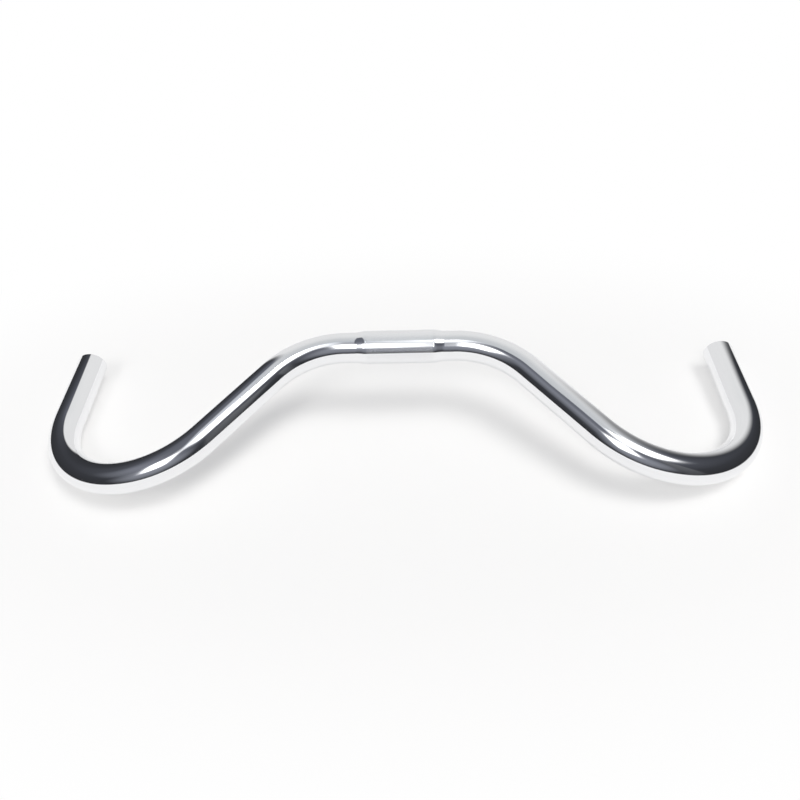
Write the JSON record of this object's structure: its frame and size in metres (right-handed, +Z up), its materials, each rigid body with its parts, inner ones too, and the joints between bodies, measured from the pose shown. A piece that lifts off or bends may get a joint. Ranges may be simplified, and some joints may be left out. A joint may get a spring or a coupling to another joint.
{
  "type": "moustache handlebar",
  "caption": "Bicycle handlebar bent from polished aluminium tube: a bulged knurled clamp zone, arms that sweep forward and down, and hooks that turn back into open-ended grips.",
  "frame": {"origin": "centre of the clamp zone, on the tube's centreline", "axes": "+X along the clamp zone towards the rider's left, +Y to the rear (the way the grips point), +Z up, with the bar lying as it comes to rest on a level floor"},
  "size_m": [0.5604, 0.1543, 0.0756],
  "materials": {
    "polished_aluminium": "mirror polished, with a fine knurl on the clamp zone"
  },
  "bodies": {
    "root": {"handlebar": "polished_aluminium"}
  },
  "joints": []
}
